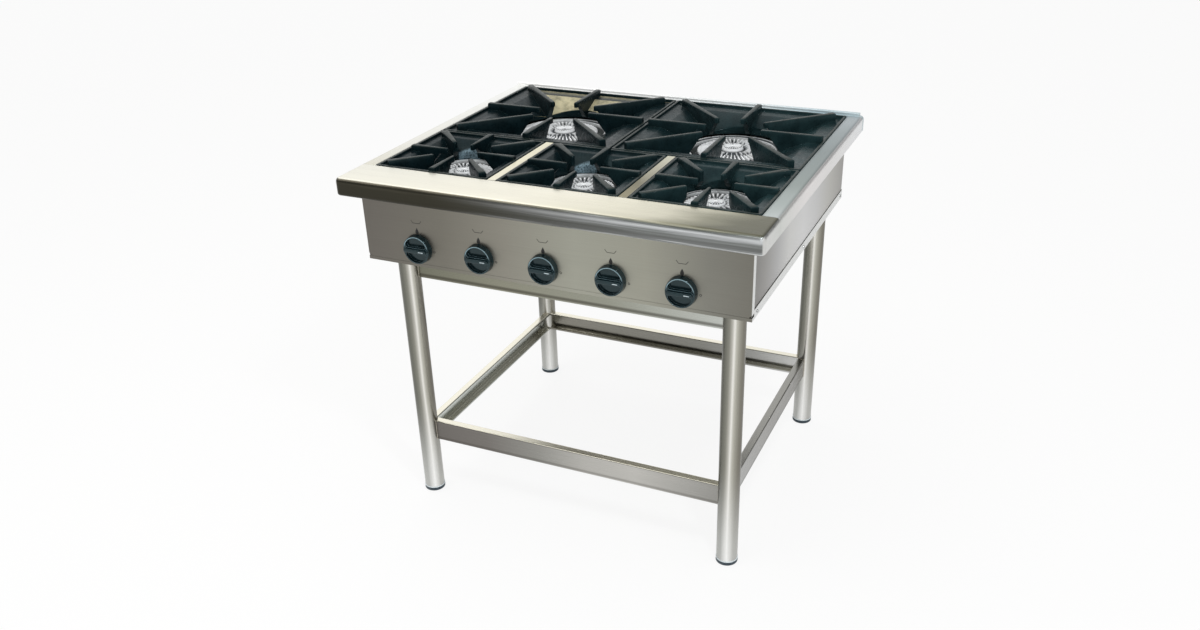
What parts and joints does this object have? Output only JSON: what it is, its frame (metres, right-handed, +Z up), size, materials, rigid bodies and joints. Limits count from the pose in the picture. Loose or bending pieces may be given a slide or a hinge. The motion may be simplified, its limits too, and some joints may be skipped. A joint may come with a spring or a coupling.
{
  "type": "gas stove",
  "caption": "Free-standing industrial gas stove: cast-iron grates in a stainless worktop, control panel with knobs, on an open tube stand.",
  "frame": {"origin": "on the floor, under the middle of the worktop", "axes": "+Z up, the front with the knobs faces -Y, +X to the right seen from the front"},
  "size_m": [1, 0.87, 0.902],
  "materials": {
    "worktop_steel": "brushed",
    "panel_steel": "fine satin",
    "stand_steel": "polished satin",
    "foot_black": "black",
    "divider_steel": "bright satin",
    "grate_iron": "black enamel, semi-gloss",
    "bowl_aluminium": "cast",
    "crown_aluminium": "cast and turned",
    "knob_black": "gloss black",
    "gas_brass": "machined",
    "gas_pipe": "zinc grey",
    "screw_steel": "bright"
  },
  "bodies": {
    "range": {"back_panel": "panel_steel", "base_pan": "panel_steel", "burner_bars": "divider_steel", "burner_body_front_left": "bowl_aluminium", "burner_body_front_middle": "bowl_aluminium", "burner_body_front_right": "bowl_aluminium", "burner_body_rear_left": "bowl_aluminium", "burner_body_rear_right": "bowl_aluminium", "burner_crown_front_left": "crown_aluminium", "burner_crown_front_middle": "crown_aluminium", "burner_crown_front_right": "crown_aluminium", "control_panel": "panel_steel", "cross_rail": "divider_steel", "divider_left": "divider_steel", "divider_right": "divider_steel", "foot_front_left": "foot_black", "foot_front_right": "foot_black", "foot_rear_left": "foot_black", "foot_rear_right": "foot_black", "gas_inlet": "gas_pipe", "gas_manifold": "gas_pipe", "gas_taps": "gas_brass", "injectors": "gas_brass", "leg_front_left": "stand_steel", "leg_front_right": "stand_steel", "leg_rear_left": "stand_steel", "leg_rear_right": "stand_steel", "lower_rail_front": "stand_steel", "lower_rail_left": "stand_steel", "lower_rail_rear": "stand_steel", "lower_rail_right": "stand_steel", "panel_screws": "screw_steel", "rear_divider": "divider_steel", "side_panel_left": "panel_steel", "side_panel_right": "panel_steel", "upper_rail_front": "stand_steel", "upper_rail_left": "stand_steel", "upper_rail_rear": "stand_steel", "upper_rail_right": "stand_steel", "worktop_front": "worktop_steel", "worktop_left": "worktop_steel", "worktop_rear": "worktop_steel", "worktop_right": "worktop_steel"},
    "knob_1": {"knob_1": "knob_black", "tap_spindle_1": "gas_brass"},
    "knob_2": {"knob_2": "knob_black", "tap_spindle_2": "gas_brass"},
    "knob_3": {"knob_3": "knob_black", "tap_spindle_3": "gas_brass"},
    "knob_4": {"knob_4": "knob_black", "tap_spindle_4": "gas_brass"},
    "knob_5": {"knob_5": "knob_black", "tap_spindle_5": "gas_brass"},
    "grate_front_left": {"grate_front_left": "grate_iron"},
    "grate_front_middle": {"grate_front_middle": "grate_iron"},
    "grate_front_right": {"grate_front_right": "grate_iron"},
    "grate_rear_left": {"grate_rear_left": "grate_iron"},
    "grate_rear_right": {"grate_rear_right": "grate_iron"},
    "burner_crown_rear_left": {"burner_crown_rear_left": "crown_aluminium"},
    "burner_crown_rear_right": {"burner_crown_rear_right": "crown_aluminium"}
  },
  "joints": [
    {"name": "knob_1_turn", "type": "hinge", "parent": "range", "child": "knob_1", "pos_m": [-0.325, -0.387, 0.726], "axis": [0, -1, 0], "range_deg": [0, 180]},
    {"name": "knob_2_turn", "type": "hinge", "parent": "range", "child": "knob_2", "pos_m": [-0.165, -0.387, 0.726], "axis": [0, -1, 0], "range_deg": [0, 180]},
    {"name": "knob_3_turn", "type": "hinge", "parent": "range", "child": "knob_3", "pos_m": [-0.005, -0.387, 0.726], "axis": [0, -1, 0], "range_deg": [0, 180]},
    {"name": "knob_4_turn", "type": "hinge", "parent": "range", "child": "knob_4", "pos_m": [0.155, -0.387, 0.726], "axis": [0, -1, 0], "range_deg": [0, 180]},
    {"name": "knob_5_turn", "type": "hinge", "parent": "range", "child": "knob_5", "pos_m": [0.315, -0.387, 0.726], "axis": [0, -1, 0], "range_deg": [0, 180]},
    {"name": "grate_front_left_lift", "type": "slide", "parent": "range", "child": "grate_front_left", "axis": [0, 0, 1], "range_m": [0, 0.12]},
    {"name": "grate_front_middle_lift", "type": "slide", "parent": "range", "child": "grate_front_middle", "axis": [0, 0, 1], "range_m": [0, 0.12]},
    {"name": "grate_front_right_lift", "type": "slide", "parent": "range", "child": "grate_front_right", "axis": [0, 0, 1], "range_m": [0, 0.12]},
    {"name": "grate_rear_left_lift", "type": "slide", "parent": "range", "child": "grate_rear_left", "axis": [0, 0, 1], "range_m": [0, 0.12]},
    {"name": "grate_rear_right_lift", "type": "slide", "parent": "range", "child": "grate_rear_right", "axis": [0, 0, 1], "range_m": [0, 0.12]},
    {"name": "burner_crown_rear_left_lift", "type": "slide", "parent": "range", "child": "burner_crown_rear_left", "axis": [0, 0, 1], "range_m": [0, 0.04]},
    {"name": "burner_crown_rear_right_lift", "type": "slide", "parent": "range", "child": "burner_crown_rear_right", "axis": [0, 0, 1], "range_m": [0, 0.04]}
  ]
}
